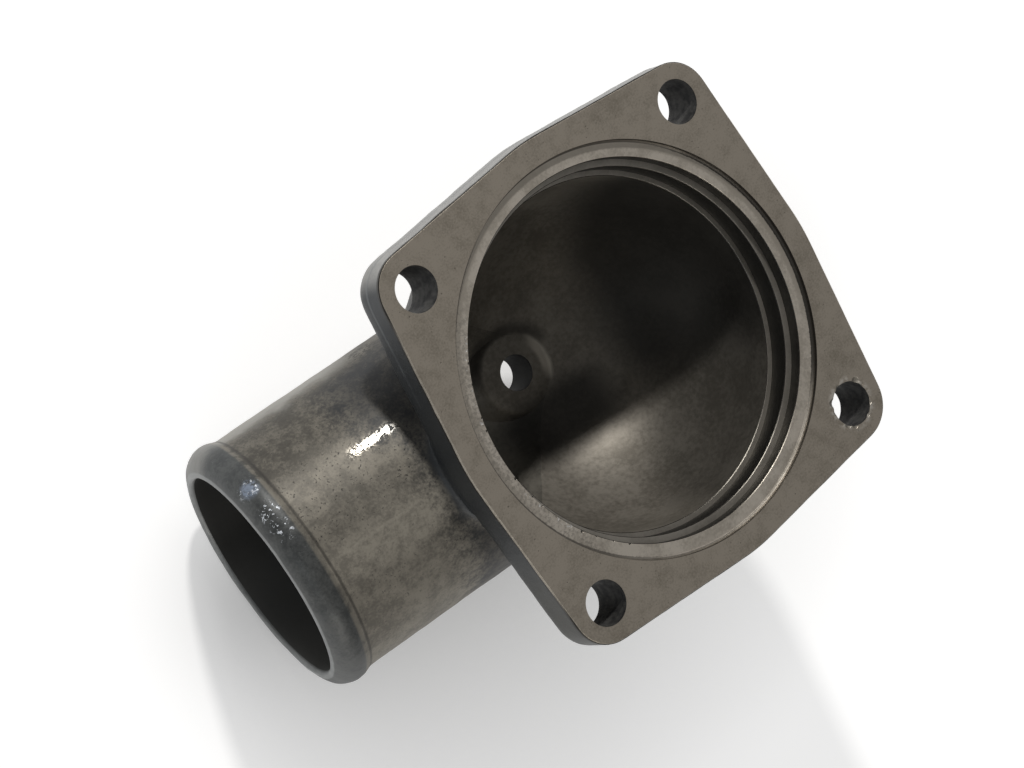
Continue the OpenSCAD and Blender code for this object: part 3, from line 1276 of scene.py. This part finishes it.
@dataclass
class Housing:
    """The finished housing: the casting, machined and dressed."""

    machining: Machining = field(default_factory=Machining)
    crisp: float = math.radians(32.0)
    sliver: float = 0.002 * MM

    def build(self) -> Object:
        """Make the housing and put it in the CAD node's place.

        Returns:
            The finished piece.
        """
        obj = self.machining.casting.build()
        obj.name = "housing_body"
        for surface, finish in self._finishes().items():
            obj.data.materials.append(finish)
            LOG.info("finish %s on slot %d", finish.name, surface.value)
        self._machine(obj)
        self._merge_slivers(obj)
        obj.data.shade_smooth()
        obj.data.set_sharp_from_angle(angle=self.crisp)
        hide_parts(NODE)
        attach(obj, BODY)
        LOG.info("piece %s: %d faces", obj.name, len(obj.data.polygons))
        return obj

    def _machine(self, obj: Object) -> None:
        """Work the casting with each tool in turn, and put the tools away."""
        tools = self.machining.tools()
        for tool, cut in tools:
            for index, material in enumerate(obj.data.materials):
                tool.data.materials[index] = material
            work = obj.modifiers.new(tool.name, "BOOLEAN")
            work.operation = cut.value
            work.object = tool
            work.solver = "MANIFOLD"
        baked(obj)
        for tool, _ in tools:
            mesh = tool.data
            bpy.data.objects.remove(tool)
            bpy.data.meshes.remove(mesh)

    def _merge_slivers(self, obj: Object) -> None:
        """Merge the near points that the cuts leave, so that no face is a sliver."""
        bm = bmesh.new()
        bm.from_mesh(obj.data)
        bmesh.ops.remove_doubles(bm, verts=bm.verts[:], dist=self.sliver)
        bmesh.ops.dissolve_degenerate(bm, edges=bm.edges[:], dist=self.sliver / 20)
        bm.to_mesh(obj.data)
        bm.free()

    @staticmethod
    def _finishes() -> dict[Surface, Material]:
        """The material of each kind of surface, in slot order."""
        # Painted shade: the neck bore gets a darker copy of the chamber wall's finish.
        bore = ChamberWall("neck_bore", (0.22, 0.207, 0.178), (0.12, 0.112, 0.097))
        # Painted shade: the seat's walls get a dark copy of the turned seat's finish.
        wall = TurnedSeat("seat_wall_painted_shade", (0.08, 0.077, 0.07), (0.045, 0.043, 0.04), (0.05, 0.049, 0.046))
        return {
            Surface.CAST_SKIN: CastSkin().build(),
            Surface.MACHINED_FACE: MachinedFace().build(),
            Surface.TURNED_SEAT: TurnedSeat().build(),
            Surface.CHAMBER_WALL: ChamberWall().build(),
            Surface.DRILLED_WALL: DrilledWall().build(),
            Surface.NECK_BORE: bore.build(),
            Surface.SHADED_SEAT_WALL: wall.build(),
        }


@dataclass(frozen=True)
class Lamp:
    """Round soft lamp that points at the part. Its stand is a direction seen from the part."""

    name: str
    stand: Place
    size: float
    power: float
    tint: Colour
    away: float = 0.9

    def build(self) -> None:
        """Hang the lamp."""
        data = bpy.data.lights.new(self.name, "AREA")
        data.shape = "DISK"
        data.size = self.size
        data.energy = self.power
        data.color = self.tint
        lamp = bpy.data.objects.new(self.name, data)
        stand = Vector(self.stand)
        lamp.location = stand.normalized() * self.away
        lamp.rotation_euler = stand.to_track_quat("Z", "Y").to_euler()
        bpy.context.scene.collection.objects.link(lamp)


@dataclass
class Studio:
    """Pale floor, soft light and the camera. The shade's ramps and the camera's place are in mm."""

    floor_level: float
    floor_half: float = 4.0
    floor_paint: Colour = (0.8, 0.8, 0.8)
    shade_reach: float = 0.058
    shade_curve: float = 1.6
    shade_y: Ramp = (-14.0, 20.0)
    shade_x: Ramp = (-80.0, -50.0)
    shade_tone: Colour = (0.1, 0.102, 0.105)
    shade_share: float = 0.1
    shade_glow: float = 6.3
    lamps: tuple[Lamp, ...] = (
        Lamp("key_lamp", (0.125, 0.797, 0.592), 0.065, 4.6, (1.0, 0.98, 0.95)),
        Lamp("side_lamp", (-0.87, -0.2, 0.46), 0.5, 0.5, (0.85, 0.93, 1.0)),
        Lamp("fill_lamp", (-0.5, -0.8, 0.28), 0.45, 1.7, (1.0, 0.96, 0.9)),
    )
    world_level: float = 0.19
    camera_place: Place = (-213.81, 90.73, 367.66)
    camera_turn: tuple[float, float, float] = (5.955, -29.273, -35.416)
    lens: float = 110.083
    sensor: float = 36.0

    def build(self) -> None:
        """Make the floor, the lights, the world and the camera."""
        self._floor()
        for lamp in self.lamps:
            lamp.build()
        self._world()
        self._camera()
        bpy.context.scene.view_settings.view_transform = "Standard"

    def _floor(self) -> None:
        """Pale floor that stays white to the camera, with the lamps' shadow and a painted shadow in its glow.
        """
        bm = bmesh.new()
        level = Matrix.Translation(UP * self.floor_level)
        bmesh.ops.create_grid(bm, x_segments=1, y_segments=1, size=self.floor_half, matrix=level)
        floor = mesh_object("floor", bm)
        g = Graph.material("pale_floor")
        path = g.node("ShaderNodeLightPath").outputs
        seen = g.most(Wire(g, path["Is Camera Ray"]), Wire(g, path["Is Glossy Ray"]))
        seen = g.most(seen, Wire(g, path["Is Transmission Ray"]))
        paint = g.wire("ShaderNodeBsdfDiffuse", 0, None, {"Color": (*self.floor_paint, 1.0)})
        x, y, _ = g.parts()
        # Painted shadow: the glow darkens by ambient occlusion on the -Y side, away from the far -X end.
        shade = g.wire("ShaderNodeAmbientOcclusion", "AO", {"samples": 8}, {"Distance": self.shade_reach})
        shut = 1.0 - g.math("POWER", shade, self.shade_curve)
        shut = shut * g.fall(y, *self.shade_y) * g.rise(x, *self.shade_x)
        tone = g.mix(shut, WHITE, self.shade_tone)
        glow = g.wire("ShaderNodeEmission", 0, None, {"Color": tone, "Strength": self.shade_glow})
        both = g.node("ShaderNodeMixShader", None, {0: seen * self.shade_share, 1: paint, 2: glow})
        floor.data.materials.append(g.finish(both))
        LOG.info("stage %s", floor.name)

    def _world(self) -> None:
        """Even room light, white to the camera."""
        world = bpy.data.worlds.new("room")
        bpy.context.scene.world = world
        g = Graph(world)
        seen = g.wire("ShaderNodeLightPath", "Is Camera Ray")
        level = seen * (1.0 - self.world_level) + self.world_level
        glow = g.node("ShaderNodeBackground", None, {"Color": (*WHITE, 1.0), "Strength": level})
        g.finish(glow, Output.WORLD)

    def _camera(self) -> None:
        """Camera at the fitted viewing place and angle."""
        data = bpy.data.cameras.new("camera")
        data.sensor_fit = "HORIZONTAL"
        data.sensor_width = self.sensor
        data.lens = self.lens
        data.clip_start = 0.01
        camera = bpy.data.objects.new("camera", data)
        camera.location = Vector(self.camera_place) * MM
        camera.rotation_euler = [math.radians(a) for a in self.camera_turn]
        bpy.context.scene.collection.objects.link(camera)
        bpy.context.scene.camera = camera


def main() -> None:
    """Load the frame, build the housing and the studio, with the floor at the bottom of the CAD node's box.
    """
    logging.basicConfig(level=logging.INFO, format="%(name)s: %(message)s")
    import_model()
    Housing().build()
    low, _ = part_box(NODE)
    Studio(floor_level=low.z).build()


if __name__ == "__main__":
    main()
